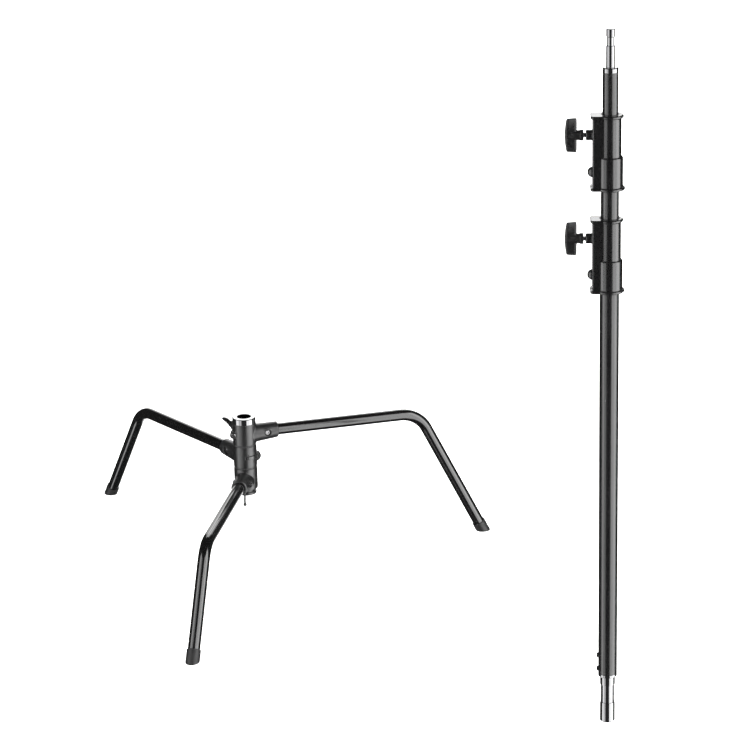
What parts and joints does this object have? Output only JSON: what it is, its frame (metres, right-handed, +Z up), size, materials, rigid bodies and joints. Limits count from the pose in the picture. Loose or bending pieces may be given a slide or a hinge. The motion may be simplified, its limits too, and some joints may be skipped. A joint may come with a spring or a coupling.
{
  "type": "c stand",
  "caption": "Taken-apart studio light stand: folding leg base with a socket, and a telescoping column with clamp collars, spigot and mounting pin.",
  "frame": {"origin": "on the floor under the middle of the whole layout's bounding box", "axes": "+Z up along the hub and the column, -Y towards the viewer and the front leg, +X towards the column's side"},
  "size_m": [1.1221, 1.2427, 1.32],
  "materials": {
    "column_tube_paint": "semi-gloss black paint on steel tube",
    "leg_paint": "gloss black paint on steel tube",
    "hub_paint": "satin black powder coat on die-cast alloy",
    "collar_paint": "semi-gloss black paint on die-cast alloy",
    "chrome_steel": "bright machined and chromed steel",
    "bright_fasteners": "bright plated steel",
    "black_fasteners": "black oxide steel",
    "clamp_steel": "zinc plated threaded steel",
    "spring_steel": "drawn spring wire",
    "knob_black": "matt black glass-filled nylon",
    "latch_black": "black painted steel",
    "foot_plastic": "matt black moulded cap",
    "slider_plastic": "black acetal"
  },
  "bodies": {
    "base_frame": {"centre_tube": "hub_paint", "socket_ring": "chrome_steel", "upper_leg_casting": "hub_paint", "casting_screw": "bright_fasteners", "hub_retainer": "hub_paint", "retainer_screw": "bright_fasteners", "upper_thrust_washer": "slider_plastic", "lower_thrust_washer": "slider_plastic", "right_leg_tube": "leg_paint", "right_foot": "foot_plastic", "right_leg_bolt": "bright_fasteners", "right_leg_nut": "black_fasteners"},
    "left_leg": {"middle_leg_casting": "hub_paint", "left_leg_tube": "leg_paint", "left_foot": "foot_plastic", "left_leg_bolt": "bright_fasteners", "left_leg_nut": "black_fasteners", "left_latch_pin": "bright_fasteners", "left_latch_spring": "spring_steel"},
    "front_leg": {"lower_leg_casting": "hub_paint", "front_leg_tube": "leg_paint", "front_foot": "foot_plastic", "front_leg_bolt": "bright_fasteners", "front_leg_nut": "black_fasteners", "front_latch_pin": "bright_fasteners", "front_latch_spring": "spring_steel"},
    "left_latch": {"left_leg_latch": "latch_black"},
    "front_latch": {"front_leg_latch": "latch_black"},
    "socket_pad": {"socket_clamp_pad": "slider_plastic"},
    "socket_handle": {"socket_clamp_screw": "clamp_steel", "socket_clamp_handle": "knob_black"},
    "column": {"spigot": "chrome_steel", "spigot_screws": "black_fasteners", "bottom_tube": "column_tube_paint", "lower_collar": "collar_paint", "lower_collar_bush": "slider_plastic", "lower_collar_bolt": "black_fasteners"},
    "lower_pad": {"lower_clamp_pad": "slider_plastic"},
    "lower_knob": {"lower_clamp_screw": "clamp_steel", "lower_clamp_knob": "knob_black"},
    "middle_riser": {"middle_tube": "column_tube_paint", "middle_tube_guide": "slider_plastic", "upper_collar": "collar_paint", "upper_collar_bush": "slider_plastic", "upper_collar_bolt": "black_fasteners"},
    "upper_pad": {"upper_clamp_pad": "slider_plastic"},
    "upper_knob": {"upper_clamp_screw": "clamp_steel", "upper_clamp_knob": "knob_black"},
    "top_riser": {"top_tube": "column_tube_paint", "top_tube_guide": "slider_plastic", "baby_pin": "chrome_steel", "pin_rivet": "black_fasteners"}
  },
  "joints": [
    {"name": "left_leg_fold", "type": "hinge", "parent": "base_frame", "child": "left_leg", "pos_m": [-0.19564, 0.2045, 0.24], "axis": [0, 0, -1], "range_deg": [0, 106]},
    {"name": "front_leg_fold", "type": "hinge", "parent": "base_frame", "child": "front_leg", "pos_m": [-0.19564, 0.2045, 0.19], "axis": [0, 0, 1], "range_deg": [0, 107]},
    {"name": "left_latch_pull", "type": "hinge", "parent": "left_leg", "child": "left_latch", "pos_m": [-0.18885, 0.18358, 0.24], "axis": [0, 0, -1], "range_deg": [0, 12], "stiffness_Nm_per_rad": 0.05, "springref_deg": -17.19},
    {"name": "front_latch_pull", "type": "hinge", "parent": "front_leg", "child": "front_latch", "pos_m": [-0.2147, 0.1935, 0.1626], "axis": [0, 0, -1], "range_deg": [0, 12], "stiffness_Nm_per_rad": 0.05, "springref_deg": -17.19},
    {"name": "socket_pad_slide", "type": "slide", "parent": "base_frame", "child": "socket_pad", "axis": [0.6157, -0.788, 0], "range_m": [0, 0.0018]},
    {"name": "socket_clamp_turn", "type": "hinge", "parent": "socket_pad", "child": "socket_handle", "pos_m": [-0.22335, 0.23996, 0.296], "axis": [0.6157, -0.788, 0], "range_deg": [0, 432.5]},
    {"name": "column_lift", "type": "slide", "parent": "base_frame", "child": "column", "axis": [0, 0, 1], "range_m": [0, 0.45]},
    {"name": "middle_riser_slide", "type": "slide", "parent": "column", "child": "middle_riser", "axis": [0, 0, 1], "range_m": [-0.05, 0.62]},
    {"name": "top_riser_slide", "type": "slide", "parent": "middle_riser", "child": "top_riser", "axis": [0, 0, 1], "range_m": [-0.073, 0.66]},
    {"name": "lower_pad_slide", "type": "slide", "parent": "column", "child": "lower_pad", "axis": [-1, 0, 0], "range_m": [0, 0.0045]},
    {"name": "lower_clamp_turn", "type": "hinge", "parent": "lower_pad", "child": "lower_knob", "pos_m": [0.48636, -0.5955, 0.941], "axis": [-1, 0, 0], "range_deg": [0, 1080.5]},
    {"name": "upper_pad_slide", "type": "slide", "parent": "middle_riser", "child": "upper_pad", "axis": [-1, 0, 0], "range_m": [0, 0.0045]},
    {"name": "upper_clamp_turn", "type": "hinge", "parent": "upper_pad", "child": "upper_knob", "pos_m": [0.48636, -0.5955, 1.13], "axis": [-1, 0, 0], "range_deg": [0, 1080.5]}
  ],
  "couplings": [
    {"joint": "socket_clamp_turn", "follows": "socket_pad_slide", "rad_per_m": 4188.8},
    {"joint": "lower_clamp_turn", "follows": "lower_pad_slide", "rad_per_m": 4188.8},
    {"joint": "upper_clamp_turn", "follows": "upper_pad_slide", "rad_per_m": 4188.8}
  ]
}
